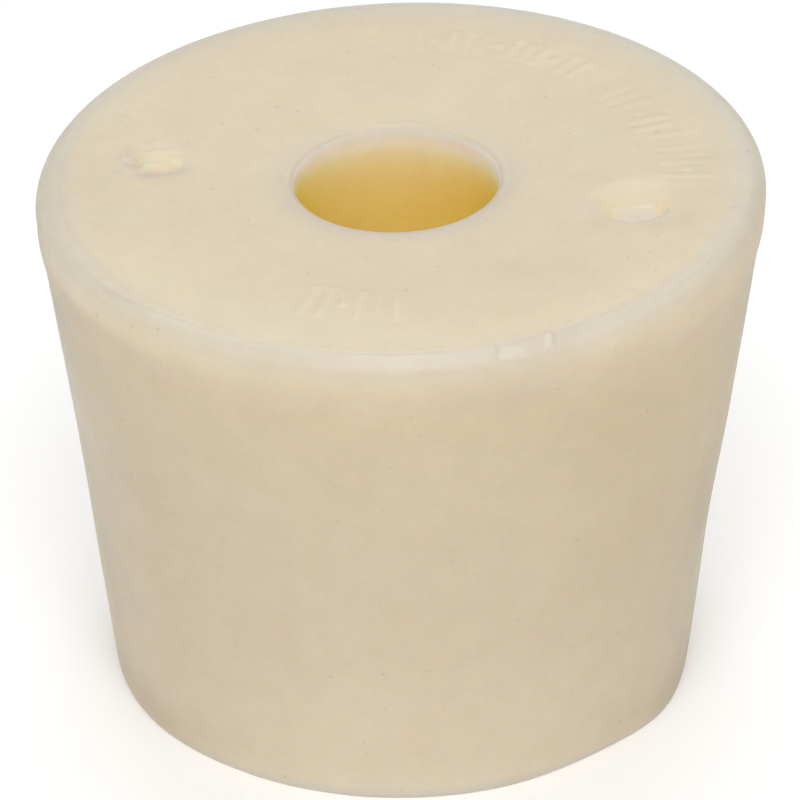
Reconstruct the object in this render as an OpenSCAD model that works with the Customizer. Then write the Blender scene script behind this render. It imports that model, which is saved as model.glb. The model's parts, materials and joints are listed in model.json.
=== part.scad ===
// One-hole rubber stopper: a plug moulded in one piece from gum rubber, with a tapered side
// and a straight hole through it. The origin is the centre of the small end, and +Z runs
// along the hole to the large end. All sizes are in millimetres.

/* [Body] */
// Diameter of the large end, to the corner that its rim would have if it were sharp
large_d = 34; // [30:0.5:50]
// Diameter of the small end, to the corner that its rim would have if it were sharp
small_d = 27; // [18:0.5:30]
// Length from the small end to the large end
length = 25.4; // [12:0.1:50]
// Radius of the rounded rim of the large end
large_rim_r = 1; // [0.2:0.1:2]
// Radius of the rounded rim of the small end
small_rim_r = 0.2; // [0.2:0.1:1.5]

/* [Hole] */
// Diameter of the hole
hole_d = 9.5; // [4:0.5:12]
// Radius of the rounded mouths of the hole
mouth_r = 0.3; // [0.2:0.1:1]

/* [Gate marks] */
// Distance between the two gate marks, which lie across the hole from each other
gate_spacing = 22.4; // [20:0.2:25]
// Turn of the gate marks about the hole, anticlockwise from +X
gate_turn = -12; // [-90:1:90]
// Width of the dish at the gate that came off clean
clean_dish_d = 4; // [2:0.1:4.6]
// Depth of the dish at the gate that came off clean
clean_dish_depth = 0.35; // [0.1:0.05:0.8]
// Width of the dish at the gate that tore
torn_dish_d = 3.7; // [2.4:0.1:4.6]
// Depth of the dish at the gate that tore
torn_dish_depth = 0.4; // [0.3:0.05:0.8]

/* [Torn stub] */
// Width of the stub where it joins the dish
stub_root_d = 2.2; // [1:0.1:2.2]
// Width that the stub would have at the level of the large end
stub_tip_d = 1.9; // [0.5:0.1:2.2]
// Slant of the torn tip
stub_slant = 5; // [0:1:12]
// Direction in which the tip slants down, anticlockwise from +X
stub_slant_turn = -60; // [-180:5:180]
// Gap between the highest point of the tip and the level of the large end
stub_sink = 0.04; // [0.02:0.01:0.1]

/* [Hidden] */
$fn = 128;

rubber = [0.88, 0.82, 0.71];

// Half of the section, as corners before rounding: distance from the axis, height, rounding
corners = [
    [hole_d / 2, 0, mouth_r],
    [small_d / 2, 0, small_rim_r],
    [large_d / 2, length, large_rim_r],
    [hole_d / 2, length, mouth_r]
];

// How far the cutters reach past the solid that they cut
overlap = 1;

function corner(i) = [corners[i][0], corners[i][1]];
function rounding(i) = corners[i][2];
function ahead(i) = (i + 1) % len(corners);
function behind(i) = (i + len(corners) - 1) % len(corners);

// Direction from one corner to another
function toward(from, to) = (corner(to) - corner(from)) / norm(corner(to) - corner(from));

// Half of the angle between the two sides that meet at a corner
function half_angle(i) = acos(toward(i, ahead(i)) * toward(i, behind(i))) / 2;

// Where the rounding of a corner touches the side that leads to the corner named by to
function touch_point(i, to) = corner(i) + toward(i, to) * rounding(i) / tan(half_angle(i));

// Centre of the rounding of a corner, on the line that halves the corner's angle
function rounding_centre(i) =
    let (middle = toward(i, ahead(i)) + toward(i, behind(i)))
    corner(i) + middle / norm(middle) * rounding(i) / sin(half_angle(i));

// Radius of a ball whose cap has the given width and depth
function ball_radius(width, depth) = (width * width / 4 + depth * depth) / (2 * depth);

// Half of the stopper's section: straight sides that run into a round at each corner
module rounded_section() {
    polygon([
        for (i = [0 : len(corners) - 1])
            each [touch_point(i, behind(i)), touch_point(i, ahead(i))]
    ]);
    for (i = [0 : len(corners) - 1])
        translate(rounding_centre(i)) circle(r = rounding(i));
}

// Puts its children at a gate mark, at the level of the large end: side 1 or -1 of the hole
module at_gate(side) {
    rotate([0, 0, gate_turn])
        translate([side * gate_spacing / 2, 0, length])
            rotate([0, 0, -gate_turn])
                children();
}

// The ball that cuts a shallow dish of the given width and depth
module dish_cutter(width, depth) {
    radius = ball_radius(width, depth);
    translate([0, 0, radius - depth]) sphere(r = radius);
}

// What is left of the sprue in the torn dish: a short tapered stub with a slanted tip
module torn_stub() {
    tip_drop = stub_sink + stub_tip_d / 2 * tan(stub_slant);
    root_depth = torn_dish_depth + overlap / 2;
    difference() {
        translate([0, 0, -root_depth])
            cylinder(d1 = stub_root_d, d2 = stub_tip_d, h = root_depth);
        rotate([0, 0, stub_slant_turn])
            translate([0, 0, -tip_drop])
                rotate([0, stub_slant, 0])
                    translate([-stub_root_d, -stub_root_d, 0])
                        cube([2 * stub_root_d, 2 * stub_root_d, overlap]);
    }
}

// The whole stopper, as one moulded piece
module stopper() {
    color(rubber) {
        difference() {
            rotate_extrude() rounded_section();
            at_gate(1) dish_cutter(clean_dish_d, clean_dish_depth);
            at_gate(-1) dish_cutter(torn_dish_d, torn_dish_depth);
        }
        at_gate(-1) torn_stub();
    }
}

stopper();
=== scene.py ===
"""Looks of a one-hole gum rubber stopper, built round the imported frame.

The stopper is moulded in one piece, so its skin is one mesh: the closed outline of half of its
section, carried round the axis. Each relief then raises or sinks that skin by what the mould,
the gates and use have left on it, and each tone tints it. Lengths are in metres, but the tones
and the shader take millimetres.
"""

from __future__ import annotations

import itertools
import json
import logging
import math
from abc import ABC, abstractmethod
from dataclasses import dataclass, field
from enum import Enum
from typing import Any, Callable, Iterable

import bpy
import numpy as np
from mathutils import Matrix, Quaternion, Vector


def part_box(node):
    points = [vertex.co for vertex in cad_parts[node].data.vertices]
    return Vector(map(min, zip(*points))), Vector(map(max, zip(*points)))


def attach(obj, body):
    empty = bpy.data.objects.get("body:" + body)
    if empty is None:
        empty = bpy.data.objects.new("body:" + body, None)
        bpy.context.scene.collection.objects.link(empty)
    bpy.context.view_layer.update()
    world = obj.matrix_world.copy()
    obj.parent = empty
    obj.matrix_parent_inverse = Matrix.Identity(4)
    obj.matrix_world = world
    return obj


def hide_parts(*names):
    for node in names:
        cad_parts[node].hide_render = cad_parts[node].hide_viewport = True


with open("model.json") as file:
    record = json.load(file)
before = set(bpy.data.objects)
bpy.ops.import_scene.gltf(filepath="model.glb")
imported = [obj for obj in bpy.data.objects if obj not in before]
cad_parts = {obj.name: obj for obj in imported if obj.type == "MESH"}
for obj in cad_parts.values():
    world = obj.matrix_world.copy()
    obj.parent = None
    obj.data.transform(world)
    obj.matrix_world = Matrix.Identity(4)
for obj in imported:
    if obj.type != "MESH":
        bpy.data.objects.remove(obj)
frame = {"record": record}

LOG = logging.getLogger("stopper")
MM = 0.001
NODE = "stopper"
BODY = "root"
PAINT = "paint"
ROUGH = "rough"
LINE_SAMPLES = 6001
FADE_STEPS = 6.0

Colour = tuple[float, float, float, float]
WHITE: Colour = (1.0, 1.0, 1.0, 1.0)
BLACK: Colour = (0.0, 0.0, 0.0, 1.0)


def add_object(name: str, data: bpy.types.ID) -> bpy.types.Object:
    """Puts a mesh, light or camera into the scene.

    Args:
        name: The object's name.
        data: What it shows.

    Returns:
        The object.
    """
    made = bpy.data.objects.new(name, data)
    bpy.context.scene.collection.objects.link(made)
    return made


# ---- Numbers along a line ----


def smooth_step(low: float, high: float, value: np.ndarray) -> np.ndarray:
    """Smooth rise from 0 to 1.

    Args:
        low: Where the rise starts.
        high: Where it ends. It may be under low, and then the value falls.
        value: Where it is read.

    Returns:
        The height of the rise at each value.
    """
    share = np.clip((value - low) / (high - low), 0.0, 1.0)
    return share * share * (3.0 - 2.0 * share)


def turned(degrees: np.ndarray, middle: float) -> np.ndarray:
    """Signed angle from a middle, in degrees.

    Args:
        degrees: Angles round the axis.
        middle: The angle that counts as 0.

    Returns:
        The way from the middle to each angle, from -180 to 180.
    """
    return (degrees - middle + 180.0) % 360.0 - 180.0


def soft_spot(*shares: np.ndarray) -> np.ndarray:
    """1 where every share is 0, falling off smoothly as they grow."""
    return np.exp(-sum(share**2 for share in shares))


def along_axes(x: np.ndarray, y: np.ndarray, degrees: float) -> tuple[np.ndarray, np.ndarray]:
    """Reads x and y along axes that are turned by some degrees."""
    turn = math.radians(degrees)
    return x * math.cos(turn) + y * math.sin(turn), y * math.cos(turn) - x * math.sin(turn)


@dataclass(frozen=True)
class FineBand:
    """A stretch of a line where points stand closer together."""

    centre: float
    half_width: float
    step: float


def graded(start: float, end: float, step: float, bands: Iterable[FineBand] = ()) -> np.ndarray:
    """Points along a line, closer together in the fine bands.

    Args:
        start: First point.
        end: Last point.
        step: Spacing outside the bands.
        bands: Stretches with a finer spacing, which fades into the rest.

    Returns:
        The points, first and last included.
    """
    line = np.linspace(start, end, LINE_SAMPLES)
    spacing = np.full_like(line, step)
    for band in bands:
        outside = np.abs(line - band.centre) - band.half_width
        fade = smooth_step(0.0, FADE_STEPS * step, outside)
        spacing = np.minimum(spacing, band.step + (step - band.step) * fade)
    gaps = np.diff(line) * 0.5 * (1.0 / spacing[1:] + 1.0 / spacing[:-1])
    count = np.concatenate([[0.0], np.cumsum(gaps)])
    return np.interp(np.linspace(0.0, count[-1], math.ceil(count[-1]) + 1), count, line)


@dataclass(frozen=True)
class Grain:
    """Smooth random waves in space, the same on every run."""

    cell: float
    seed: int
    table_side: int = 24

    def at(self, points: np.ndarray) -> np.ndarray:
        """Reads the waves.

        Args:
            points: Rows of x, y and z.

        Returns:
            A height from about -1 to 1 at each point.
        """
        rng = np.random.default_rng(self.seed)
        table = rng.uniform(-1.0, 1.0, (self.table_side,) * 3)
        scaled = points / self.cell
        base = np.floor(scaled).astype(int)
        part = scaled - base
        part = part * part * (3.0 - 2.0 * part)
        total = np.zeros(len(points))
        for corner in itertools.product((0, 1), repeat=3):
            index = (base + corner) % self.table_side
            weight = np.prod(np.where(corner, part, 1.0 - part), axis=1)
            total += weight * table[index[:, 0], index[:, 1], index[:, 2]]
        return total


# ---- Form ----


class Band(Enum):
    """The stretches of the section, in the order in which its outline runs."""

    SMALL_MOUTH = 0
    HOLE = 1
    LARGE_MOUTH = 2
    LARGE_END = 3
    LARGE_RIM = 4
    SIDE = 5
    SMALL_RIM = 6
    SMALL_END = 7


@dataclass(frozen=True)
class Corner:
    """A corner of the section before it is rounded."""

    radius: float
    height: float
    rounding: float
    round_steps: int

    @property
    def point(self) -> np.ndarray:
        """The corner as distance from the axis and height."""
        return np.array([self.radius, self.height])


@dataclass(frozen=True)
class Round:
    """The round of one corner: its centre, its radius and the normals that it turns between."""

    centre: np.ndarray
    radius: float
    turn_in: float
    turn_out: float

    def normal(self, share: float) -> np.ndarray:
        """The normal at a share of the way through the round."""
        angle = self.turn_in + (self.turn_out - self.turn_in) * share
        return np.array([math.cos(angle), math.sin(angle)])

    def point(self, share: float) -> np.ndarray:
        """The point at a share of the way through the round."""
        return self.centre + self.radius * self.normal(share)


@dataclass(frozen=True)
class Section:
    """Half of the stopper's section: four straight sides with a round at each corner."""

    height: float
    hole_radius: float
    mouth_rounding: float
    large_radius: float = 17.0 * MM
    small_radius: float = 13.5 * MM
    large_rounding: float = 1.0 * MM
    small_rounding: float = 0.2 * MM
    round_steps: tuple[int, int, int, int] = (5, 8, 16, 7)

    @classmethod
    def from_frame(cls) -> Section:
        """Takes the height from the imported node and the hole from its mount."""
        low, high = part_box(NODE)
        bore = next(m for m in frame["record"]["mounts"] if m["kind"] == "bore")
        height = high.z - low.z
        straight = bore["dims"]["length_mm"] * MM
        return cls(height, bore["dims"]["r_mm"] * MM, (height - straight) / 2.0)

    @property
    def flat_radius(self) -> float:
        """Distance from the axis at which the flat large end turns into its rim."""
        return self.rounds()[2].centre[0]

    def corners(self) -> list[Corner]:
        """The corners, from the hole's lower mouth upwards and outwards."""
        lower_mouth, upper_mouth, large_rim, small_rim = self.round_steps
        return [
            Corner(self.hole_radius, 0.0, self.mouth_rounding, lower_mouth),
            Corner(self.hole_radius, self.height, self.mouth_rounding, upper_mouth),
            Corner(self.large_radius, self.height, self.large_rounding, large_rim),
            Corner(self.small_radius, 0.0, self.small_rounding, small_rim),
        ]

    def rounds(self) -> list[Round]:
        """The round of each corner, which touches both of its sides."""
        corners = self.corners()
        rounds = []
        for index, corner in enumerate(corners):
            way_in = corner.point - corners[index - 1].point
            way_out = corners[(index + 1) % len(corners)].point - corner.point
            turn_in = math.atan2(way_in[0], -way_in[1])
            turn_out = math.atan2(way_out[0], -way_out[1])
            turn_out -= 2.0 * math.pi if turn_out > turn_in else 0.0
            middle = (turn_in + turn_out) / 2.0
            reach = corner.rounding / math.cos((turn_in - turn_out) / 2.0)
            centre = corner.point - reach * np.array([math.cos(middle), math.sin(middle)])
            rounds.append(Round(centre, corner.rounding, turn_in, turn_out))
        return rounds

    def outline(self, straight_points: dict[Band, np.ndarray]) -> Outline:
        """Runs once round the section.

        Args:
            straight_points: For each straight side, where its points stand, as shares from
                0 to 1 of the stretch between its two rounds.

        Returns:
            The closed outline.
        """
        rounds = self.rounds()
        rows: list[tuple[np.ndarray, np.ndarray, int]] = []
        for index, corner in enumerate(self.corners()):
            here, ahead = rounds[index], rounds[(index + 1) % len(rounds)]
            for share in np.arange(corner.round_steps) / corner.round_steps:
                rows.append((here.point(share), here.normal(share), 2 * index))
            start, end = here.point(1.0), ahead.point(0.0)
            for share in straight_points[Band(2 * index + 1)][:-1]:
                rows.append((start + (end - start) * share, here.normal(1.0), 2 * index + 1))
        points, normals, bands = zip(*rows)
        return Outline(np.array(points), np.array(normals), np.array(bands))


@dataclass(frozen=True)
class Outline:
    """The closed outline of the section, as rows of points."""

    points: np.ndarray
    normals: np.ndarray
    bands: np.ndarray

    def run_from_large_rim(self) -> np.ndarray:
        """Distance along the outline from where the large rim starts, positive outwards."""
        steps = np.linalg.norm(np.diff(self.points, axis=0), axis=1)
        run = np.concatenate([[0.0], np.cumsum(steps)])
        return run - run[np.argmax(self.bands == Band.LARGE_RIM.value)]


@dataclass
class Skin:
    """Every point of the stopper's surface, as it leaves the section."""

    section: Section
    outline: Outline
    degrees: np.ndarray
    points: np.ndarray = field(init=False)
    normals: np.ndarray = field(init=False)
    angle: np.ndarray = field(init=False)
    band: np.ndarray = field(init=False)
    run: np.ndarray = field(init=False)

    def __post_init__(self) -> None:
        """Carries the outline round the axis."""
        rows, columns = len(self.outline.points), len(self.degrees)
        self.points = self._turn(self.outline.points)
        self.normals = self._turn(self.outline.normals)
        self.angle = np.tile(self.degrees, rows)
        self.band = np.repeat(self.outline.bands, columns)
        self.run = np.repeat(self.outline.run_from_large_rim(), columns)

    def _turn(self, pairs: np.ndarray) -> np.ndarray:
        """Turns pairs round the axis.

        Args:
            pairs: Rows of radius and height, as points or directions.

        Returns:
            Rows of x, y and z, with one for each pair at each angle.
        """
        across, along = np.cos(np.radians(self.degrees)), np.sin(np.radians(self.degrees))
        x = np.outer(pairs[:, 0], across)
        y = np.outer(pairs[:, 0], along)
        z = np.outer(pairs[:, 1], np.ones_like(across))
        return np.stack([x.ravel(), y.ravel(), z.ravel()], axis=1)

    @property
    def radius(self) -> np.ndarray:
        """Distance of each point from the axis."""
        return np.hypot(self.points[:, 0], self.points[:, 1])

    def on(self, *bands: Band) -> np.ndarray:
        """1 on the given bands and 0 elsewhere."""
        return np.isin(self.band, [band.value for band in bands]).astype(float)

    def near_angle(self, degrees: float, half_degrees: float) -> np.ndarray:
        """1 at that angle round the axis, falling off on both sides of it."""
        return soft_spot(turned(self.angle, degrees) / half_degrees)

    def from_place(self, x: float, y: float) -> tuple[np.ndarray, np.ndarray]:
        """How far each point is from a place on the large end, along X and along Y."""
        return self.points[:, 0] - x, self.points[:, 1] - y

    def faces(self) -> np.ndarray:
        """Rows of four point numbers, wound so that the normals face out."""
        rows, columns = len(self.outline.points), len(self.degrees)
        numbers = np.arange(rows * columns).reshape(rows, columns)
        right = np.roll(numbers, -1, axis=1)
        below = np.roll(numbers, -1, axis=0)
        corner = np.roll(right, -1, axis=0)
        return np.stack([numbers, below, corner, right], axis=-1).reshape(-1, 4)


# ---- Reliefs ----


class Relief(ABC):
    """Something that raises or sinks the stopper's skin."""

    @abstractmethod
    def lift(self, skin: Skin) -> np.ndarray:
        """Says how far the skin moves.

        Args:
            skin: The stopper's skin as it left the section.

        Returns:
            A distance outwards for each point of the skin.
        """


@dataclass(frozen=True)
class CleanGate(Relief):
    """The gate that came off clean: a dish with a small flat floor against its front edge."""

    x: float = 10.56 * MM
    y: float = -2.86 * MM
    radius: float = 1.97 * MM
    depth: float = 0.3 * MM
    floor_x: float = 10.93 * MM
    floor_y: float = -3.78 * MM
    floor_half_length: float = 1.35 * MM
    floor_half_width: float = 0.86 * MM
    floor_depth: float = 0.33 * MM
    front_steepness: float = 1.15
    back_steepness: float = 1.6

    def share(self, skin: Skin) -> np.ndarray:
        """Distance from the middle of the dish, as a share of its radius."""
        across, along = skin.from_place(self.x, self.y)
        return np.hypot(across, along) / self.radius

    def floor(self, skin: Skin) -> np.ndarray:
        """1 on the floor, with a soft edge.

        Args:
            skin: The stopper's skin.

        Returns:
            The share of each point.
        """
        across, along = skin.from_place(self.floor_x, self.floor_y)
        share = np.hypot(across / self.floor_half_length, along / self.floor_half_width)
        return smooth_step(1.12, 0.86, share) * smooth_step(0.99, 0.94, self.share(skin))

    def glow(self, skin: Skin) -> np.ndarray:
        """1 at the front of the dish, where painted light stands in for light coming through its
        thin edge, 0 behind.

        Args:
            skin: The stopper's skin.

        Returns:
            The share of each point.
        """
        across, along = skin.from_place(self.x, self.y - 0.35 * self.radius)
        away = np.hypot(across / 1.15, along) / self.radius
        return smooth_step(1.25, 0.35, away) * smooth_step(1.0, 0.93, self.share(skin))

    def lift(self, skin: Skin) -> np.ndarray:
        """Sinks the dish, steep at the front and gentle behind, and its floor."""
        share, floor = self.share(skin), self.floor(skin)
        across, along = skin.from_place(self.x, self.y)
        front = smooth_step(0.4, -0.4, along / self.radius)
        hollow = np.clip(1.0 - share**2, 0.0, 1.0)
        steep, gentle = hollow**self.front_steepness, hollow**self.back_steepness
        dish = -self.depth * (steep * front + gentle * (1.0 - front))
        return (dish * (1.0 - floor) - self.floor_depth * floor) * skin.on(Band.LARGE_END)


@dataclass(frozen=True)
class TornGate(Relief):
    """The gate that tore: a shallow dish with the ragged stub of its sprue in it."""

    x: float = -11.14 * MM
    y: float = 2.12 * MM
    stub_half_x: float = 1.0 * MM
    stub_half_y: float = 0.8 * MM
    stub_sink: float = 0.02 * MM
    dish_x: float = -11.2 * MM
    dish_y: float = 2.0 * MM
    dish_radius: float = 1.8 * MM
    dish_depth: float = 0.3 * MM
    flap_x: float = -12.5 * MM
    flap_y: float = 2.1 * MM
    flap_height: float = 0.08 * MM
    flap_half_length: float = 0.4 * MM
    flap_half_width: float = 0.17 * MM
    flap_way: tuple[float, float] = (0.83, -0.55)
    front_way: tuple[float, float] = (-0.36, -0.93)
    ragged: float = 0.25
    edge: Grain = Grain(0.45 * MM, 11)
    roughness: float = 0.06 * MM
    top: Grain = Grain(0.4 * MM, 12)

    def stub_share(self, skin: Skin) -> np.ndarray:
        """Distance from the middle of the stub, as a share of its ragged half width.

        Args:
            skin: The stopper's skin.

        Returns:
            The share of each point, 1 at the edge.
        """
        across, along = skin.from_place(self.x, self.y)
        squared = np.abs(across / self.stub_half_x) ** 3 + np.abs(along / self.stub_half_y) ** 3
        return np.cbrt(squared) + self.ragged * self.edge.at(skin.points)

    def stub(self, skin: Skin) -> np.ndarray:
        """1 on top of the stub and 0 off it, with a steep side between."""
        return smooth_step(1.3, 0.85, self.stub_share(skin))

    def front(self, skin: Skin) -> np.ndarray:
        """1 before the middle of the stub, 0 behind it, with a soft change at its two sides.

        Args:
            skin: The stopper's skin.

        Returns:
            The share of each point.
        """
        across, along = skin.from_place(self.x, self.y)
        ahead = self.front_way[1] * along + self.front_way[0] * across
        return smooth_step(-0.2, 0.7, ahead / np.maximum(np.hypot(across, along), 1e-6))

    def foot(self, skin: Skin) -> np.ndarray:
        """1 on the side of the stub and the foot of the dish before it."""
        share = self.stub_share(skin)
        return smooth_step(1.0, 1.3, share) * smooth_step(2.5, 1.8, share) * self.front(skin)

    def brow(self, skin: Skin) -> np.ndarray:
        """1 on the front part of the stub's top, where shade is painted."""
        share = self.stub_share(skin)
        return smooth_step(0.3, 0.75, share) * smooth_step(1.2, 0.95, share) * self.front(skin)

    def lift(self, skin: Skin) -> np.ndarray:
        """Sinks the dish, less behind the stub, and raises the torn stub and the flap."""
        across, along = skin.from_place(self.dish_x, self.dish_y)
        share = np.hypot(across, along) / self.dish_radius
        dish = -self.dish_depth * smooth_step(1.0, 0.4, share)
        dish = dish * (0.35 + 0.65 * self.front(skin))
        crown = -self.stub_sink + self.roughness * self.top.at(skin.points)
        stub = self.stub(skin)
        across, along = skin.from_place(self.flap_x, self.flap_y)
        way_x, way_y = self.flap_way
        width = (-way_y * across + way_x * along) / self.flap_half_width
        length = (way_x * across + way_y * along) / self.flap_half_length
        flap = self.flap_height * soft_spot(width, length) * (1.0 - stub)
        return (dish * (1.0 - stub) + crown * stub + flap) * skin.on(Band.LARGE_END)


@dataclass(frozen=True)
class MarkRow:
    """A row of small raised marks on the large end, at one distance from the axis."""

    middle_degrees: float
    spread_degrees: float
    count: int
    radius: float
    half_length: float
    height: float
    dot_half_length: float = 0.25 * MM

    def marks(self) -> Iterable[tuple[float, float]]:
        """Plain bars that point at the axis, with every fourth one cut short to a dot.

        Yields:
            For each mark its angle and its half length.
        """
        places = np.linspace(-0.5, 0.5, self.count) * self.spread_degrees
        for index, place in enumerate(places):
            half_length = self.dot_half_length if index % 4 == 2 else self.half_length
            yield self.middle_degrees + place, half_length


@dataclass(frozen=True)
class MouldMarks(Relief):
    """Faint plain bars and dots that the mould raises on the large end."""

    rows: tuple[MarkRow, ...] = (
        MarkRow(72.0, 48.0, 15, 12.6 * MM, 0.9 * MM, 0.06 * MM),
        MarkRow(27.0, 18.0, 6, 12.3 * MM, 1.0 * MM, 0.05 * MM),
        MarkRow(4.0, 20.0, 8, 13.2 * MM, 1.2 * MM, 0.038 * MM),
        MarkRow(154.0, 9.0, 4, 14.3 * MM, 0.7 * MM, 0.04 * MM),
        MarkRow(-101.0, 20.0, 6, 11.7 * MM, 1.3 * MM, 0.065 * MM),
    )
    half_width: float = 0.2 * MM
    soft: float = 0.13 * MM
    worn: Grain = Grain(1.3 * MM, 21)
    kept: float = 0.7

    def lift(self, skin: Skin) -> np.ndarray:
        """Raises each mark, less where it is worn. What is kept of it varies by as much."""
        total = np.zeros(len(skin.run))
        for row in self.rows:
            for degrees, half_length in row.marks():
                aside = skin.radius * np.radians(np.abs(turned(skin.angle, degrees)))
                across = smooth_step(self.half_width + self.soft, self.half_width - self.soft, aside)
                out = np.abs(skin.radius - row.radius)
                along = smooth_step(half_length + self.soft, half_length - self.soft, out)
                total = np.maximum(total, row.height * across * along)
        wear = np.clip(self.kept + self.kept * self.worn.at(skin.points), 0.0, 1.0)
        return total * wear * skin.on(Band.LARGE_END)


@dataclass(frozen=True)
class RimCrease(Relief):
    """The fine trim line where the flat large end turns into its rim.

    The lip outside it is measured in half widths of the line.
    """

    middle_degrees: float = -84.0
    half_spread: float = 67.0
    fade_degrees: float = 6.0
    wander: float = 0.5 * MM
    wander_degrees: tuple[float, float] = (-36.0, -57.0)
    depth: float = 0.03 * MM
    half_width: float = 0.1 * MM
    lip: float = 0.025 * MM
    lip_away: float = 2.4
    lip_half_width: float = 1.5
    broken: Grain = Grain(2.6 * MM, 31)

    def from_line(self, skin: Skin) -> np.ndarray:
        """Distance outwards from the line, in its half widths. It wanders out at its left."""
        wander = self.wander * smooth_step(*self.wander_degrees, turned(skin.angle, -90.0))
        return (skin.run - wander) / self.half_width

    def line(self, skin: Skin) -> np.ndarray:
        """1 along the middle of the line, 0 off it."""
        return soft_spot(self.from_line(skin)) * skin.on(Band.LARGE_END, Band.LARGE_RIM)

    def lift(self, skin: Skin) -> np.ndarray:
        """Sinks a broken line and raises the lip outside it."""
        away = np.abs(turned(skin.angle, self.middle_degrees))
        window = smooth_step(self.half_spread, self.half_spread - self.fade_degrees, away)
        strength = smooth_step(-0.35, 0.5, self.broken.at(skin.points)) * window
        outside = soft_spot((self.from_line(skin) - self.lip_away) / self.lip_half_width)
        outside = outside * skin.on(Band.LARGE_END, Band.LARGE_RIM)
        return (self.lip * outside - self.depth * self.line(skin)) * strength


@dataclass(frozen=True)
class Nick:
    """A flat-sided nick in the rim, or torn flash that stands up where its depth is under 0."""

    degrees: float
    run: float
    half_around: float
    half_along: float
    depth: float = 0.0
    turn_degrees: float = 0.0

    def share(self, skin: Skin) -> np.ndarray:
        """1 on the nick's flat floor, falling to 0 at its edges.

        Args:
            skin: The stopper's skin.

        Returns:
            The share of each point.
        """
        around = skin.section.large_radius * np.radians(turned(skin.angle, self.degrees))
        along = skin.run - self.run
        across, up = along_axes(around, along, self.turn_degrees)
        slope = 1.0 - np.maximum(np.abs(across / self.half_around), np.abs(up / self.half_along))
        nearby = skin.on(Band.LARGE_END, Band.LARGE_RIM, Band.SIDE)
        return np.clip(2.0 * slope, 0.0, 1.0) * nearby


@dataclass(frozen=True)
class RimNicks(Relief):
    """Small nicks and torn flash on the front of the large rim."""

    wide: Nick = Nick(-70.3, 0.45 * MM, 1.5 * MM, 0.6 * MM, 0.05 * MM)
    split: Nick = Nick(-74.6, 0.5 * MM, 0.14 * MM, 0.6 * MM, 0.06 * MM, 16.0)
    patch: Nick = Nick(-72.6, 0.6 * MM, 0.9 * MM, 0.45 * MM, -0.04 * MM, 4.0)
    flash: Nick = Nick(-65.9, 0.42 * MM, 0.24 * MM, 0.55 * MM, -0.06 * MM, 20.0)
    shade: Nick = Nick(-64.9, 0.4 * MM, 0.16 * MM, 0.5 * MM, 0.03 * MM, 20.0)
    beyond: Nick = Nick(-60.3, 0.45 * MM, 1.45 * MM, 0.6 * MM, 0.06 * MM)

    def lift(self, skin: Skin) -> np.ndarray:
        """Sinks or raises each nick as a flat-topped pyramid."""
        nicks = (self.wide, self.split, self.patch, self.flash, self.shade, self.beyond)
        return -sum(nick.depth * nick.share(skin) for nick in nicks)


@dataclass(frozen=True)
class Swell:
    """A broad place where the soft body stands proud, or has sunk where its lift is under 0."""

    degrees: float
    height: float
    half_degrees: float
    half_height: float
    lift: float


@dataclass(frozen=True)
class OutOfRound(Relief):
    """Broad swells of the side, which keep the body from being a perfect cone."""

    swells: tuple[Swell, ...] = (
        Swell(180.0, 13.0 * MM, 50.0, 8.0 * MM, -0.13 * MM),
        Swell(0.0, 8.0 * MM, 35.0, 4.0 * MM, -0.17 * MM),
        Swell(180.0, 23.2 * MM, 45.0, 0.8 * MM, 0.09 * MM),
        Swell(0.0, 23.2 * MM, 45.0, 0.8 * MM, 0.09 * MM),
        Swell(-95.0, 0.0, 40.0, 3.0 * MM, 0.17 * MM),
        Swell(-50.0, 0.0, 14.0, 3.0 * MM, -0.13 * MM),
        Swell(-28.0, 0.0, 12.0, 3.0 * MM, 0.22 * MM),
        Swell(-145.0, 0.0, 14.0, 3.0 * MM, 0.1 * MM),
    )

    def lift(self, skin: Skin) -> np.ndarray:
        """Adds every swell, on the side and its two rims only."""
        total = np.zeros(len(skin.run))
        for swell in self.swells:
            around = turned(skin.angle, swell.degrees) / swell.half_degrees
            up = (skin.points[:, 2] - swell.height) / swell.half_height
            total += swell.lift * soft_spot(around, up)
        return total * skin.on(Band.LARGE_RIM, Band.SIDE, Band.SMALL_RIM)


@dataclass(frozen=True)
class Unevenness(Relief):
    """The slow waves of a soft moulding, everywhere but in the hole and on the small end."""

    broad: Grain = Grain(7.0 * MM, 41)
    fine: Grain = Grain(1.7 * MM, 42)
    broad_height: float = 0.02 * MM
    fine_height: float = 0.006 * MM

    def lift(self, skin: Skin) -> np.ndarray:
        """Adds both waves."""
        waves = self.broad_height * self.broad.at(skin.points)
        waves = waves + self.fine_height * self.fine.at(skin.points)
        return waves * skin.on(Band.LARGE_END, Band.LARGE_RIM, Band.SIDE, Band.SMALL_RIM)


@dataclass(frozen=True)
class Skew:
    """How the body is out of true: its large end leans, and its hole stands off the middle."""

    lean_degrees: float = 1.5
    hole_x: float = -0.18 * MM
    hole_y: float = -0.22 * MM

    def shift(self, skin: Skin) -> np.ndarray:
        """Says how far each point moves.

        Args:
            skin: The stopper's skin.

        Returns:
            Rows of x, y and z.
        """
        moved = np.zeros_like(skin.points)
        share = skin.points[:, 2] / skin.section.height
        moved[:, 2] = math.tan(math.radians(self.lean_degrees)) * skin.points[:, 0] * share
        inner = skin.section.hole_radius
        near_hole = smooth_step(2.2 * inner, 1.2 * inner, skin.radius)
        moved[:, 0] = self.hole_x * near_hole
        moved[:, 1] = self.hole_y * near_hole
        return moved


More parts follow.
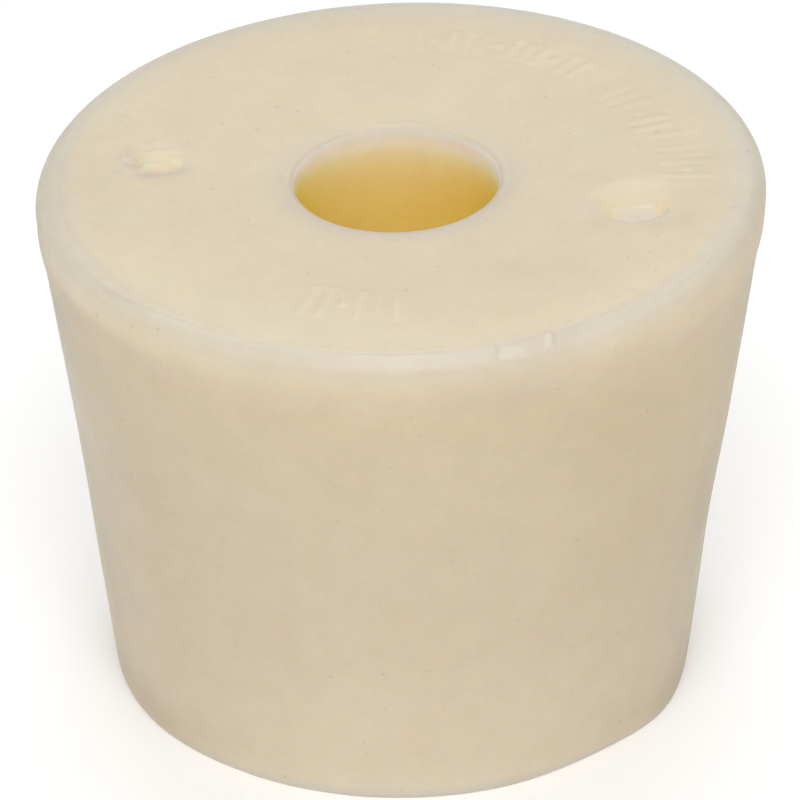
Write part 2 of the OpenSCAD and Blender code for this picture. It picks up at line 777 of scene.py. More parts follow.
@dataclass
class Stopper:
    """The moulded stopper, as one mesh."""

    section: Section
    clean_gate: CleanGate = CleanGate()
    torn_gate: TornGate = TornGate()
    crease: RimCrease = RimCrease()
    rim_nicks: RimNicks = RimNicks()
    others: tuple[Relief, ...] = (MouldMarks(), OutOfRound(), Unevenness())
    skew: Skew = Skew()
    seam_degrees: float = -135.0
    angle_step: float = 1.0
    angle_bands: tuple[FineBand, ...] = (
        FineBand(-101.0, 11.0, 0.62),
        FineBand(-67.0, 9.0, 0.38),
        FineBand(-11.2, 11.0, 0.46),
        FineBand(15.0, 21.0, 0.62),
        FineBand(72.0, 25.0, 0.62),
        FineBand(168.5, 11.0, 0.44),
    )

    def skin(self) -> Skin:
        """Lays out the points of the surface."""
        start = self.seam_degrees
        degrees = graded(start, start + 360.0, self.angle_step, self.angle_bands)[:-1]
        return Skin(self.section, self.section.outline(self._straight_points()), degrees)

    def _straight_points(self) -> dict[Band, np.ndarray]:
        """Shares of each straight side at which its points stand."""
        flat = self.section.flat_radius - self.section.hole_radius - self.section.mouth_rounding
        start = self.section.hole_radius + self.section.mouth_rounding
        marks = FineBand((11.0 * MM - start) / flat, 2.1 * MM / flat, 0.1 * MM / flat)
        trim = FineBand(1.0, 0.5 * MM / flat, 0.08 * MM / flat)
        return {
            Band.HOLE: graded(0.0, 1.0, 0.09, (FineBand(1.0, 0.3, 0.028),)),
            Band.LARGE_END: graded(0.0, 1.0, 0.24 * MM / flat, (marks, trim)),
            Band.SIDE: graded(0.0, 1.0, 0.04, (FineBand(0.0, 0.03, 0.01),)),
            Band.SMALL_END: np.linspace(0.0, 1.0, 5),
        }

    def build(self, tones: Iterable[Tone], body: Colour) -> bpy.types.Object:
        """Makes the mesh object, in place, with its colours painted on it.

        Args:
            tones: What changes the colour from place to place.
            body: The colour before them.

        Returns:
            The object.
        """
        skin = self.skin()
        mesh = bpy.data.meshes.new("moulded_stopper")
        faces = skin.faces()
        mesh.from_pydata(self._raised(skin).tolist(), [], faces.tolist())
        mesh.polygons.foreach_set("use_smooth", np.ones(len(faces), bool))
        self._paint(mesh, skin, tones, body)
        mesh.update()
        return add_object("moulded_stopper", mesh)

    def _raised(self, skin: Skin) -> np.ndarray:
        """The points of the skin after every relief and the skew, none of them under the table.

        Args:
            skin: The stopper's skin.

        Returns:
            Rows of x, y and z.
        """
        reliefs = (self.clean_gate, self.torn_gate, self.crease, self.rim_nicks, *self.others)
        lift = sum(relief.lift(skin) for relief in reliefs)
        points = skin.points + skin.normals * lift[:, None] + self.skew.shift(skin)
        points[:, 2] = np.maximum(points[:, 2], 0.0)
        return points

    def _paint(self, mesh: bpy.types.Mesh, skin: Skin, tones: Iterable[Tone], body: Colour) -> None:
        """Keeps the colour of each point on the mesh, and 1 where torn rubber is rougher.

        Args:
            mesh: The stopper's mesh.
            skin: The stopper's skin as it left the section.
            tones: What changes the colour from place to place.
            body: The colour before them.
        """
        colours = np.tile(np.array(body), (len(skin.points), 1))
        for tone in tones:
            factors = np.append(tone.tint, 1.0) - 1.0
            colours *= 1.0 + tone.share(skin)[:, None] * factors
        paint = mesh.color_attributes.new(PAINT, "FLOAT_COLOR", "POINT")
        paint.data.foreach_set("color", colours.astype(np.float32).ravel())
        torn = np.maximum(self.torn_gate.stub(skin), self.torn_gate.foot(skin))
        rough = mesh.attributes.new(ROUGH, "FLOAT", "POINT")
        rough.data.foreach_set("value", (torn * skin.on(Band.LARGE_END)).astype(np.float32))


# ---- Tones ----

Tint = tuple[float, float, float]


@dataclass(frozen=True)
class Tone(ABC):
    """Somewhere that the rubber's colour is not the body's. A tone's lengths are in millimetres."""

    tint: Tint

    @abstractmethod
    def share(self, skin: Skin) -> np.ndarray:
        """Says how much of the tint each point has.

        Args:
            skin: The stopper's skin as it left the section.

        Returns:
            0 for none of it and 1 for all of it.
        """


@dataclass(frozen=True)
class RimTone(Tone):
    """A tone along the large rim, which rises from start to full and falls from fade to end."""

    start: float
    full: float
    fade: float
    end: float
    degrees: float = -90.0
    half_degrees: float = 1000.0

    def share(self, skin: Skin) -> np.ndarray:
        """Rises and falls with the distance from where the rim starts."""
        run = skin.run / MM
        across = smooth_step(self.start, self.full, run) * smooth_step(self.end, self.fade, run)
        nearby = skin.on(Band.LARGE_END, Band.LARGE_RIM, Band.SIDE)
        return across * skin.near_angle(self.degrees, self.half_degrees) * nearby


@dataclass(frozen=True)
class SideTone(Tone):
    """A soft cloud on the side, which may reach further round the back than round the front."""

    degrees: float
    height: float
    half_degrees: float
    half_height: float
    half_behind: float | None = None
    rim_fade: tuple[float, float] = (0.8, 2.2)

    def share(self, skin: Skin) -> np.ndarray:
        """Fades away from the middle of the cloud."""
        around = turned(skin.angle, self.degrees)
        behind = around * turned(np.array(self.degrees), -90.0) > 0.0
        around = around / np.where(behind, self.half_behind or self.half_degrees, self.half_degrees)
        up = (skin.points[:, 2] / MM - self.height) / self.half_height
        cloud = soft_spot(around, up) * smooth_step(*self.rim_fade, skin.run / MM)
        return cloud * skin.on(Band.LARGE_RIM, Band.SIDE, Band.SMALL_RIM)


@dataclass(frozen=True)
class FaceTone(Tone):
    """A soft cloud or stroke on the large end."""

    x: float
    y: float
    half_x: float
    half_y: float
    turn_degrees: float = 0.0

    def share(self, skin: Skin) -> np.ndarray:
        """Fades away from the middle of the cloud."""
        across, along = skin.from_place(self.x * MM, self.y * MM)
        x, y = along_axes(across, along, self.turn_degrees)
        return soft_spot(x / (self.half_x * MM), y / (self.half_y * MM)) * skin.on(Band.LARGE_END)


@dataclass(frozen=True)
class MouthTone(Tone):
    """A tone on the rounds of the hole's two mouths and on the rings round them."""

    reach: float
    degrees: float = -90.0
    half_degrees: float = 1000.0

    def share(self, skin: Skin) -> np.ndarray:
        """Fades outwards on the two ends, and ends where the wall of the hole is straight."""
        edge = skin.section.hole_radius + skin.section.mouth_rounding
        flat = smooth_step(edge + self.reach * MM, edge, skin.radius)
        flat = flat * skin.on(Band.LARGE_END, Band.SMALL_END)
        near = np.maximum(flat, skin.on(Band.SMALL_MOUTH, Band.LARGE_MOUTH))
        return near * skin.near_angle(self.degrees, self.half_degrees)


@dataclass(frozen=True)
class HoleTone(Tone):
    """A tone of the wall of the hole that sets in below its mouths."""

    start: float
    reach: float
    degrees: float = -90.0
    half_degrees: float = 1000.0
    side_reach: float = 0.4

    def share(self, skin: Skin) -> np.ndarray:
        """Grows with the depth, and faster at the left and right than at the front and back, like
        the edge of the shade that the near lip casts.
        """
        height = skin.section.height
        depth = np.minimum(skin.points[:, 2], height - skin.points[:, 2]) / MM
        front_or_back = smooth_step(0.2, 1.0, np.abs(np.sin(np.radians(skin.angle))))
        reach = self.reach * (self.side_reach + (1.0 - self.side_reach) * front_or_back)
        inside = skin.on(Band.SMALL_MOUTH, Band.HOLE, Band.LARGE_MOUTH)
        grown = 1.0 - np.exp(-np.maximum(depth - self.start, 0.0) / reach)
        return grown * skin.near_angle(self.degrees, self.half_degrees) * inside


@dataclass(frozen=True)
class CreaseShadeTone(Tone):
    """The painted shade in one stretch of the rim's crease."""

    crease: RimCrease
    degrees: float
    half_degrees: float

    def share(self, skin: Skin) -> np.ndarray:
        """Follows the crease, and fades towards both ends of the stretch."""
        return self.crease.line(skin) * skin.near_angle(self.degrees, self.half_degrees)


@dataclass(frozen=True)
class PartTone(Tone):
    """The tone of one part of a relief, such as a nick in the rim or the floor of a gate."""

    part: Callable[[Skin], np.ndarray]

    def share(self, skin: Skin) -> np.ndarray:
        """Follows that part."""
        return self.part(skin) * skin.on(Band.LARGE_END, Band.LARGE_RIM, Band.SIDE)


# ---- Shader nodes ----


class Value:
    """A socket that can stand in sums with other sockets and numbers."""

    def __init__(self, recipe: Recipe, socket: bpy.types.NodeSocket) -> None:
        """Keeps the socket and the recipe that its nodes go into."""
        self.recipe = recipe
        self.socket = socket

    def _math(self, operation: str, *values: Any) -> Value:
        """Adds a Math node.

        Args:
            operation: Name of the Math node's operation.
            values: Sockets or numbers, in the node's own order.

        Returns:
            The node's result.
        """
        inputs = dict(enumerate(values))
        return self.recipe.node("ShaderNodeMath", {"operation": operation}, inputs)

    def __add__(self, other: Any) -> Value:
        """self + other."""
        return self._math("ADD", self, other)

    __radd__ = __add__

    def __mul__(self, other: Any) -> Value:
        """self * other."""
        return self._math("MULTIPLY", self, other)

    __rmul__ = __mul__

    def rise(self, low: float, high: float) -> Value:
        """Smooth rise.

        Args:
            low: Where the rise starts, at 0.
            high: Where it ends, at 1. It may be under low, and then the value falls.

        Returns:
            The height of the rise.
        """
        settings = {"interpolation_type": "SMOOTHSTEP"}
        ends = {"From Min": low, "From Max": high}
        if high < low:
            ends = {"From Min": high, "From Max": low, "To Min": 1.0, "To Max": 0.0}
        return self.recipe.node("ShaderNodeMapRange", settings, {"Value": self, **ends})


class Recipe:
    """The node tree of one material."""

    def __init__(self, name: str) -> None:
        """Starts an empty material.

        Args:
            name: The material's name.
        """
        self.material = bpy.data.materials.new(name)
        self.material.use_nodes = True
        self.tree = self.material.node_tree
        self.tree.nodes.clear()

    @staticmethod
    def _find(sockets: Any, key: str | int) -> bpy.types.NodeSocket:
        """The socket of that number, or the one in use that has that name."""
        if isinstance(key, int):
            return sockets[key]
        return next(s for s in sockets if s.name == key and s.enabled)

    def node(
        self,
        kind: str,
        settings: dict[str, Any] | None = None,
        inputs: dict[str | int, Any] | None = None,
        output: str | int = 0,
    ) -> Value:
        """Adds a node.

        Args:
            kind: The node's type.
            settings: Its properties, which are set first.
            inputs: Values or links for its sockets, by name or number.
            output: The socket that is handed back, by name or number.

        Returns:
            That output.
        """
        made = self.tree.nodes.new(kind)
        for name, setting in (settings or {}).items():
            setattr(made, name, setting)
        for key, value in (inputs or {}).items():
            socket = self._find(made.inputs, key)
            if isinstance(value, Value):
                self.tree.links.new(value.socket, socket)
            else:
                socket.default_value = value
        if not made.outputs:
            return Value(self, made.inputs[0])
        return Value(self, self._find(made.outputs, output))

    def darken(self, factor: Any, colour: Any, shade: Colour) -> Value:
        """Multiplies a colour by a shade.

        Args:
            factor: 0 to leave the colour and 1 for the full shade.
            colour: A colour or a socket.
            shade: What each channel is multiplied by.

        Returns:
            The darker colour.
        """
        settings = {"data_type": "RGBA", "blend_type": "MULTIPLY"}
        inputs = {"Factor": factor, "A": colour, "B": shade}
        return self.node("ShaderNodeMix", settings, inputs, "Result")

    def mix(self, factor: Any, first: Any, second: Any) -> Value:
        """Mixes two colours.

        Args:
            factor: 0 for the first and 1 for the second.
            first: A colour or a socket.
            second: A colour or a socket.

        Returns:
            The mixed colour.
        """
        inputs = {"Factor": factor, "A": first, "B": second}
        return self.node("ShaderNodeMix", {"data_type": "RGBA"}, inputs, "Result")

    def noise(self, place: Value, scale: float, detail: float = 2.0) -> Value:
        """Soft noise with that many waves in a millimetre, from about 0 to 1."""
        inputs = {"Vector": place, "Scale": scale, "Detail": detail}
        return self.node("ShaderNodeTexNoise", {}, inputs)

    def surface(self, **inputs: Any) -> None:
        """Closes the tree with a Principled shader.

        Args:
            inputs: Values or links, under the shader's socket names with _ for each space.
        """
        named = {key.replace("_", " "): value for key, value in inputs.items()}
        shader = self.node("ShaderNodeBsdfPrincipled", {}, named)
        self.node("ShaderNodeOutputMaterial", {}, {"Surface": shader})


@dataclass(frozen=True)
class Mottle:
    """Soft noise that darkens a colour from low to high, or towards low where high is under it."""

    scale: float
    detail: float
    low: float
    high: float
    shade: Colour

    def noise(self, recipe: Recipe, place: Value) -> Value:
        """The noise itself, from about 0 to 1."""
        return recipe.noise(place, self.scale, self.detail)

    def over(self, recipe: Recipe, colour: Value, noise: Value) -> Value:
        """Darkens a colour by that noise."""
        return recipe.darken(noise.rise(self.low, self.high), colour, self.shade)


@dataclass(frozen=True)
class Specks:
    """Dark specks, each at the middle of a cell, which come in drifts."""

    scale: float = 1.1
    edge: tuple[float, float] = (0.15, 0.04)
    drift_scale: float = 1.7
    drifts: tuple[float, float] = (0.45, 0.6)
    clear_of_hole: float = 0.6
    shade: Colour = (0.87, 0.86, 0.84, 1.0)

    def over(self, recipe: Recipe, colour: Value, place: Value, hole_radius: float) -> Value:
        """Darkens a colour at the specks, of which the hole has none.

        Args:
            recipe: The material's nodes.
            colour: The colour.
            place: The place on the stopper, in millimetres.
            hole_radius: The hole's radius, in millimetres.

        Returns:
            The darker colour.
        """
        cells = {"Vector": place, "Scale": self.scale}
        cell = recipe.node("ShaderNodeTexVoronoi", {}, cells, "Distance")
        drift = recipe.noise(place, self.drift_scale, 1.0).rise(*self.drifts)
        across = {0: place, 1: (1.0, 1.0, 0.0)}
        flat = recipe.node("ShaderNodeVectorMath", {"operation": "MULTIPLY"}, across)
        off_axis = recipe.node("ShaderNodeVectorMath", {"operation": "LENGTH"}, {0: flat}, "Value")
        outside = off_axis.rise(hole_radius, hole_radius + self.clear_of_hole)
        return recipe.darken(cell.rise(*self.edge) * drift * outside, colour, self.shade)


@dataclass(frozen=True)
class GumRubber:
    """Cream gum rubber: satin, slightly translucent, greyed at its rim and ochre in its hole, with
    light and shade painted into its colour in many places.
    """

    form: Stopper
    body: Colour = (0.761, 0.672, 0.506, 1.0)
    satin: float = 0.42
    satin_scale: float = 0.35
    satin_spread: float = 0.14
    torn_roughness: float = 0.3
    refraction: float = 1.5
    depth_of_light: float = 6.0 * MM
    light_colour: Tint = (1.0, 0.7, 0.45)
    bump_strength: float = 0.4
    bump_height: float = 0.03 * MM
    clouds: Mottle = Mottle(0.22, 4.0, 0.3, 0.7, (0.978, 0.972, 0.958, 1.0))
    patches: Mottle = Mottle(0.7, 2.0, 0.35, 0.65, (0.98, 0.978, 0.97, 1.0))
    grain: Mottle = Mottle(3.5, 4.0, 0.65, 0.35, (0.984, 0.981, 0.976, 1.0))
    specks: Specks = Specks()

    def tones(self) -> list[Tone]:
        """Everything that changes the colour from place to place."""
        groups = (
            self._rim_bloom_and_painted_sheen(),
            self._rim_painted_light_and_shade(),
            self._large_end_clouds(),
            self._side_clouds_and_painted_light(),
            self._side_painted_edge_shade(),
            self._hole_colours_and_painted_light(),
            self._clean_gate_marks_and_painted_light(),
            self._torn_gate_marks_and_painted_shade(),
        )
        return list(itertools.chain.from_iterable(groups))

    @staticmethod
    def _rim_bloom_and_painted_sheen() -> Iterable[Tone]:
        """The grey bloom on the thin rim, partly the rubber's own and partly painted highlight and
        shade, and how it differs between the front and the back, with painted shade and a painted
        whitish reflection on the far rim.
        """
        yield RimTone((0.9, 0.945, 1.06), -0.65, 0.15, 0.8, 2.0)
        yield RimTone((0.98, 1.0, 1.045), 1.0, 1.8, 2.4, 4.1)
        yield RimTone((0.985, 0.995, 1.02), -1.4, -0.8, -0.4, 0.1)
        yield RimTone((1.0, 1.04, 1.055), -5.0, -2.0, -0.9, 0.1, -115.0, 50.0)
        yield RimTone((0.975, 0.975, 0.985), -0.2, 0.3, 0.9, 2.3, -90.0, 35.0)
        # Painted shade at the far rim's edge and a painted whitish reflection on its round.
        yield RimTone((0.915, 0.95, 1.015), -2.6, -0.7, 0.0, 0.4, 84.0, 65.0)
        yield RimTone((0.96, 0.96, 0.96), -0.8, -0.3, 0.0, 0.2, 122.0, 25.0)
        yield RimTone((1.07, 1.1, 1.12), 0.1, 0.35, 0.9, 1.6, 92.0, 45.0)

    def _rim_painted_light_and_shade(self) -> Iterable[Tone]:
        """Painted highlights and painted shade along stretches of the rim, on its nicks and in its
        crease.
        """
        yield RimTone((1.03, 1.03, 1.0), -0.4, -0.1, 0.1, 0.3, -110.0, 35.0)
        yield RimTone((0.96, 0.955, 0.94), 0.0, 0.25, 0.5, 0.8, -112.0, 12.0)
        yield RimTone((1.05, 1.05, 1.04), 0.6, 0.9, 2.0, 2.9, -140.0, 26.0)
        yield RimTone((1.04, 1.04, 1.03), 0.5, 0.8, 1.2, 1.9, -55.0, 15.0)
        yield RimTone((1.035, 1.035, 1.04), 1.6, 2.1, 2.6, 3.5, -32.0, 22.0)
        yield RimTone((0.96, 0.95, 0.93), -0.2, 0.2, 0.4, 0.7, -42.0, 30.0)
        yield RimTone((0.96, 0.95, 0.93), -0.8, 0.1, 0.4, 0.7, -170.0, 25.0)
        yield RimTone((0.965, 0.965, 0.985), 0.0, 0.25, 0.9, 1.5, -68.0, 14.0)
        yield RimTone((0.96, 0.96, 0.98), 1.2, 1.5, 3.0, 4.5, -72.0, 9.0)
        yield RimTone((0.95, 0.95, 0.95), 0.3, 0.5, 1.8, 2.2, -8.0, 7.0)
        yield RimTone((0.94, 0.94, 0.95), 1.0, 1.3, 2.0, 2.4, -173.0, 7.0)
        yield RimTone((1.045, 1.065, 1.12), 1.0, 1.3, 2.1, 2.5, -153.0, 8.0)
        yield RimTone((0.98, 0.965, 0.94), 2.3, 2.7, 3.2, 4.5, -150.0, 12.0)
        # Painted shade in the crease.
        yield CreaseShadeTone((0.9, 0.89, 0.91), self.form.crease, -141.0, 7.0)
        yield CreaseShadeTone((0.91, 0.91, 0.93), self.form.crease, -70.0, 4.5)
        yield CreaseShadeTone((0.9, 0.9, 0.92), self.form.crease, -59.5, 6.5)
        # Painted shade in the split and the sunk nick; the raised patch is lighter and the torn
        # flash has a painted highlight.
        yield PartTone((0.95, 0.95, 0.96), self.form.rim_nicks.split.share)
        yield PartTone((1.035, 1.035, 1.04), self.form.rim_nicks.patch.share)
        yield PartTone((1.06, 1.06, 1.07), self.form.rim_nicks.flash.share)
        yield PartTone((0.94, 0.94, 0.95), self.form.rim_nicks.shade.share)

    @staticmethod
    def _large_end_clouds() -> Iterable[Tone]:
        """Faint light and dark clouds on the large end."""
        yield FaceTone((1.02, 1.015, 1.01), -9.0, -7.0, 4.5, 3.5)
        yield FaceTone((0.965, 0.965, 0.965), 6.3, -8.9, 3.5, 1.6)
        yield FaceTone((0.955, 0.96, 0.965), -14.6, -1.5, 2.2, 5.0)
        yield FaceTone((0.975, 0.98, 1.0), 14.6, -1.5, 2.2, 5.0)
        yield FaceTone((1.02, 1.018, 1.015), -4.0, 6.8, 9.0, 3.0)
        yield FaceTone((1.0, 0.985, 0.985), 4.0, -9.0, 7.0, 4.0)

    @staticmethod
    def _side_clouds_and_painted_light() -> Iterable[Tone]:
        """Broad clouds on the side, a painted darker band round its middle, and painted light at its
        foot, standing in for the light that it takes from the table.
        """
        yield SideTone((0.985, 0.97, 0.92), -90.0, 20.4, 400.0, 4.0)
        # Painted shade round the middle of the side.
        yield SideTone((0.975, 0.96, 0.958), -90.0, 12.5, 400.0, 6.0)
        # Painted light at the foot, from the table.
        yield SideTone((1.18, 1.08, 1.08), -90.0, 0.0, 1000.0, 1.0)
        yield SideTone((1.055, 1.052, 1.08), -90.0, 1.5, 42.0, 5.0)
        yield SideTone((0.975, 0.95, 0.935), -150.0, 5.0, 30.0, 6.0)
        yield SideTone((0.975, 0.95, 0.935), -30.0, 5.0, 25.0, 5.0)
        yield SideTone((0.97, 0.95, 0.92), -139.0, 13.0, 18.0, 6.5)
        yield SideTone((1.0, 0.96, 0.89), -32.0, 17.0, 28.0, 7.5)
        yield SideTone((0.95, 0.93, 0.89), -28.0, 11.0, 30.0, 7.0)
        yield SideTone((0.98, 0.97, 0.96), -60.0, 19.0, 14.0, 2.5)
        yield SideTone((0.98, 0.97, 0.96), -62.0, 8.5, 16.0, 2.5)
        yield SideTone((0.975, 0.965, 0.96), -116.0, 8.8, 10.0, 2.0)

    @staticmethod
    def _side_painted_edge_shade() -> Iterable[Tone]:
        """Painted shade at the left and right of the side and at their foot, which fades out round
        the back, and a painted bluish sheen under the rim at the left.
        """
        # Painted shade at the left and right edges and their foot, with a painted bluish sheen under
        # the rim at the left.
        yield SideTone((0.98, 1.0, 1.1), -172.0, 17.5, 12.0, 4.0, 50.0)
        yield SideTone((0.83, 0.845, 0.87), -172.0, 21.6, 15.0, 2.7, 35.0)
        yield SideTone((0.89, 0.88, 0.88), -164.0, 7.5, 10.0, 5.5, 50.0)
        yield SideTone((0.81, 0.8, 0.79), -152.0, 0.4, 19.0, 1.5, 60.0)
        yield SideTone((0.84, 0.825, 0.805), -15.0, 10.5, 11.5, 4.3, 50.0)
        yield SideTone((0.91, 0.905, 0.9), -15.0, 3.0, 12.0, 3.2, 50.0)
        yield SideTone((0.72, 0.71, 0.69), -18.0, 0.2, 17.0, 1.6, 60.0)
        yield SideTone((0.94, 0.94, 0.93), -43.0, 0.2, 8.0, 1.0)
        yield SideTone((0.88, 0.88, 0.89), -7.0, 20.1, 12.0, 3.0, 50.0)

    @staticmethod
    def _hole_colours_and_painted_light() -> Iterable[Tone]:
        """The grey ring round each mouth, with painted shade on its far round and painted light at
        its left and right; painted light on the upper wall where light falls in through the mouth;
        and the ochre inside the hole, partly the rubber's own and partly painted glow of light
        bounced round the hole.
        """
        yield MouthTone((0.965, 0.96, 1.01), 1.3)
        yield MouthTone((1.03, 0.985, 1.02), 1.3, -90.0, 60.0)
        yield MouthTone((1.05, 1.0, 0.94), 0.3, -90.0, 60.0)
        yield MouthTone((1.015, 1.035, 1.01), 1.3, 90.0, 60.0)
        # Painted shade on the far round of the mouth, painted light at its left and right.
        yield MouthTone((0.925, 0.93, 0.905), 0.05, 90.0, 60.0)
        yield MouthTone((1.1, 1.07, 1.05), 0.05, 0.0, 30.0)
        yield MouthTone((1.05, 1.03, 1.0), 0.05, 180.0, 30.0)
        # Painted light where light falls in through the mouth, then the ochre with painted bounced
        # light in it.
        yield HoleTone((1.23, 1.37, 1.9), 0.1, 0.17)
        yield HoleTone((1.09, 0.86, 0.232), 0.6, 1.5)
        # Painted light at the left and right of the wall.
        yield HoleTone((1.25, 1.1, 1.22), 0.1, 0.25, 0.0, 35.0)
        yield HoleTone((1.02, 0.975, 0.72), 1.0, 0.6, 5.0, 40.0)
        yield HoleTone((1.03, 0.99, 0.82), 1.6, 1.0, 40.0, 30.0)
        yield HoleTone((1.19, 1.05, 1.05), 0.1, 0.3, 180.0, 42.0)
        yield HoleTone((1.02, 1.02, 0.78), 1.0, 0.6, 180.0, 35.0)

    def _clean_gate_marks_and_painted_light(self) -> Iterable[Tone]:
        """Painted glow at the front of the clean gate, a painted whitish reflection on its floor,
        and lighter, darker and tinted spots round it, among them painted shade before its front
        edge.
        """
        # Painted glow at the front of the dish and a painted reflection on its floor.
        yield PartTone((1.05, 1.055, 1.06), self.form.clean_gate.glow)
        yield PartTone((1.0, 1.01, 1.09), self.form.clean_gate.floor)
        yield FaceTone((1.025, 1.025, 1.0), 10.5, -3.0, 1.6, 1.0)
        yield FaceTone((1.045, 1.045, 1.03), 11.8, -1.1, 1.1, 0.7)
        yield FaceTone((1.03, 0.98, 0.88), 12.1, -3.4, 0.5, 0.7)
        yield FaceTone((1.09, 1.09, 0.95), 9.63, -3.95, 0.25, 0.3)
        yield FaceTone((0.93, 0.93, 0.94), 10.8, -3.8, 0.25, 0.25)
        yield FaceTone((0.97, 1.01, 1.06), 11.35, -3.7, 0.35, 0.5)
        yield FaceTone((0.99, 1.0, 0.93), 9.7, -2.9, 0.8, 0.9)
        yield FaceTone((1.0, 0.965, 1.01), 8.45, -3.2, 0.7, 1.1)
        # Painted shade before the front edge of the dish.
        yield FaceTone((0.95, 0.945, 0.93), 10.5, -5.2, 1.7, 0.5)
        yield FaceTone((0.96, 0.955, 0.955), 9.2, -4.5, 0.6, 0.6)
        yield FaceTone((0.95, 0.955, 0.965), 12.7, -4.5, 1.0, 1.1)

    def _torn_gate_marks_and_painted_shade(self) -> Iterable[Tone]:
        """The pale torn rubber of the stub, painted shade on the front of its top, at its foot and
        in the dish before it, and lighter and darker spots round it.
        """
        yield PartTone((1.04, 1.035, 1.0), self.form.torn_gate.stub)
        # Painted shade on the front of the stub's top and at its foot.
        yield PartTone((0.955, 0.945, 0.915), self.form.torn_gate.brow)
        yield PartTone((0.935, 0.945, 0.99), self.form.torn_gate.foot)
        yield FaceTone((1.015, 1.0, 0.94), -10.6, 1.85, 0.5, 0.5)
        yield FaceTone((0.99, 1.0, 0.96), -11.6, 1.95, 0.4, 0.6)
        yield FaceTone((1.03, 1.02, 1.06), -11.1, 1.35, 0.3, 0.2)
        # Painted shade in the dish before the stub.
        yield FaceTone((0.88, 0.885, 0.91), -11.66, 0.65, 0.4, 0.33, -10.0)
        yield FaceTone((0.97, 0.94, 0.92), -10.15, 1.05, 0.4, 0.3, 20.0)
        yield FaceTone((0.965, 0.96, 0.95), -11.3, 0.2, 1.4, 0.45)
        yield FaceTone((1.035, 1.03, 1.03), -11.5, 3.7, 1.6, 0.7)
        yield FaceTone((0.96, 0.98, 1.02), -10.5, 3.2, 0.8, 0.28)
        yield FaceTone((0.93, 0.92, 0.98), -11.68, 3.6, 0.25, 0.22)
        yield FaceTone((0.945, 0.94, 0.98), -12.6, 2.85, 0.4, 0.5)
        # Painted shade in a groove beside the flap.
        yield FaceTone((0.95, 0.95, 0.96), -12.6, 1.7, 0.32, 0.15, -39.0)
        yield FaceTone((1.06, 1.08, 1.1), -12.2, 1.25, 0.4, 0.25, -30.0)

    def dress(self, stopper: bpy.types.Object) -> None:
        """Gives the stopper its finish.

        Args:
            stopper: The stopper's mesh object, already painted.
        """
        recipe = Recipe("gum_rubber")
        place = recipe.node("ShaderNodeTexCoord", {}, {}, "Object")
        in_mm = {0: place, "Scale": 1.0 / MM}
        place = recipe.node("ShaderNodeVectorMath", {"operation": "SCALE"}, in_mm)
        torn = recipe.node("ShaderNodeAttribute", {"attribute_name": ROUGH}, {}, "Fac")
        satin = recipe.noise(place, self.satin_scale, 3.0) * self.satin_spread + self.satin
        grain = self.grain.noise(recipe, place)
        bump = {"Strength": self.bump_strength, "Distance": self.bump_height, "Height": grain}
        recipe.surface(
            Base_Color=self._colour(recipe, place, grain),
            Roughness=satin + torn * self.torn_roughness,
            Normal=recipe.node("ShaderNodeBump", {}, bump),
            IOR=self.refraction,
            Subsurface_Weight=1.0,
            Subsurface_Radius=self.light_colour,
            Subsurface_Scale=self.depth_of_light,
        )
        stopper.data.materials.append(recipe.material)

    def _colour(self, recipe: Recipe, place: Value, grain: Value) -> Value:
        """Mottles the paint with faint clouds, fine grain and, outside the hole, dark specks.

        Args:
            recipe: The material's nodes.
            place: The place on the stopper, in millimetres.
            grain: The fine grain of the surface, from about 0 to 1.

        Returns:
            The colour.
        """
        colour = recipe.node("ShaderNodeAttribute", {"attribute_name": PAINT}, {}, "Color")
        for mottle in (self.clouds, self.patches):
            colour = mottle.over(recipe, colour, mottle.noise(recipe, place))
        colour = self.grain.over(recipe, colour, grain)
        return self.specks.over(recipe, colour, place, self.form.section.hole_radius / MM)


# ---- Studio ----


@dataclass(frozen=True)
class Camera:
    """The camera, at the angle and distance from which the stopper is shown."""

    elevation_degrees: float = 31.49
    roll_degrees: float = -0.2
    distance: float = 0.5241
    aim_x: float = -0.062 * MM
    aim_z: float = 13.234 * MM
    lens_mm: float = 505.44
    sensor_mm: float = 36.0
    nearest: float = 0.01

    def place(self) -> None:
        """Makes the camera and sets it on the scene."""
        data = bpy.data.cameras.new("camera")
        data.lens = self.lens_mm
        data.sensor_width = self.sensor_mm
        data.clip_start = self.nearest
        camera = add_object("camera", data)
        rise = math.radians(self.elevation_degrees)
        back = Vector((0.0, -math.cos(rise), math.sin(rise)))
        camera.location = Vector((self.aim_x, 0.0, self.aim_z)) + back * self.distance
        roll = Quaternion((0.0, 0.0, 1.0), math.radians(self.roll_degrees))
        camera.rotation_euler = (back.to_track_quat("Z", "Y") @ roll).to_euler()
        bpy.context.scene.camera = camera


@dataclass(frozen=True)
class Softbox:
    """A square studio light."""

    name: str
    position: tuple[float, float, float]
    size: float
    watts: float

    def hang(self) -> None:
        """Makes the light, aimed at the stopper."""
        data = bpy.data.lights.new(self.name, "AREA")
        data.shape = "SQUARE"
        data.size = self.size
        data.energy = self.watts
        light = add_object(self.name, data)
        light.location = self.position
        light.rotation_euler = Vector(self.position).to_track_quat("Z", "Y").to_euler()


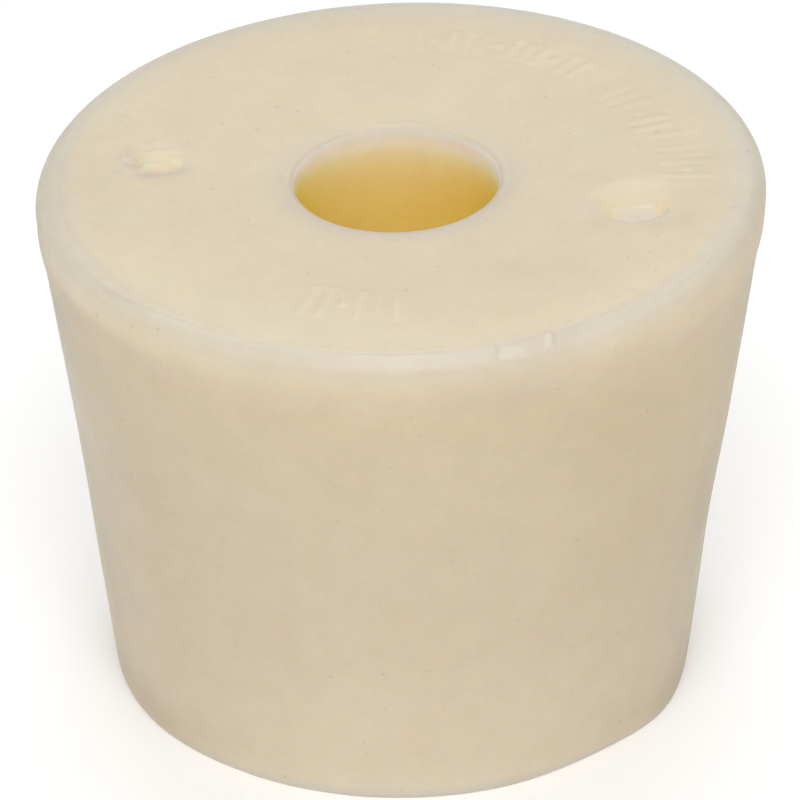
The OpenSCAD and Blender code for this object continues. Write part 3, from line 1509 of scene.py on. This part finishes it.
@dataclass(frozen=True)
class Studio:
    """A plain pale table under soft light."""

    sky: float = 0.15
    table_glow: float = 0.19
    lights: tuple[Softbox, ...] = (
        Softbox("overhead", (0.0, 0.0, 0.75), 0.6, 1.5),
        Softbox("overhead_front", (0.0, -0.5, 0.65), 0.5, 3.6),
        Softbox("overhead_back", (0.0, 0.4, 0.7), 0.5, 1.75),
    )
    table_radius: float = 1.8
    table_gap: float = 0.02 * MM
    table_points: int = 72
    glow_start: float = 0.05
    glow_end: float = 0.09
    table_colour: Colour = (0.93, 0.93, 0.93, 1.0)
    table_roughness: float = 0.9
    table_gloss: float = 0.1

    def build(self) -> None:
        """Makes the table, the lights and the sky."""
        self._table()
        for light in self.lights:
            light.hang()
        world = bpy.data.worlds.new("studio")
        world.use_nodes = True
        background = world.node_tree.nodes["Background"]
        background.inputs["Color"].default_value = WHITE
        background.inputs["Strength"].default_value = self.sky
        bpy.context.scene.world = world
        bpy.context.scene.view_settings.view_transform = "Standard"

    def _table(self) -> None:
        """Makes the round table top, with a pale glow that fades away from the stopper."""
        turns = np.linspace(0.0, 2.0 * math.pi, self.table_points, endpoint=False)
        across, along = self.table_radius * np.cos(turns), self.table_radius * np.sin(turns)
        points = np.stack([across, along, np.full_like(turns, -self.table_gap)], axis=1)
        mesh = bpy.data.meshes.new("table")
        mesh.from_pydata(points.tolist(), [], [range(self.table_points)])
        mesh.update()
        table = add_object("table", mesh)
        recipe = Recipe("white_table")
        place = recipe.node("ShaderNodeTexCoord", {}, {}, "Object")
        away = recipe.node("ShaderNodeVectorMath", {"operation": "LENGTH"}, {0: place}, "Value")
        glow = recipe.mix(away.rise(self.glow_end, self.glow_start), BLACK, WHITE)
        recipe.surface(
            Base_Color=self.table_colour,
            Roughness=self.table_roughness,
            Specular_IOR_Level=self.table_gloss,
            Emission_Color=glow,
            Emission_Strength=self.table_glow,
        )
        mesh.materials.append(recipe.material)


def main() -> None:
    """Sets the camera, builds and dresses the stopper, and sets up the studio."""
    logging.basicConfig(level=logging.INFO, format="%(name)s: %(message)s")
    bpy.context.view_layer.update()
    Camera().place()
    section = Section.from_frame()
    form = Stopper(section)
    rubber = GumRubber(form)
    stopper = form.build(rubber.tones(), rubber.body)
    rubber.dress(stopper)
    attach(stopper, BODY)
    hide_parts(NODE)
    LOG.info("%s: %d triangles, rides on %s", stopper.name, 2 * len(stopper.data.polygons), BODY)
    Studio().build()


if __name__ == "__main__":
    main()
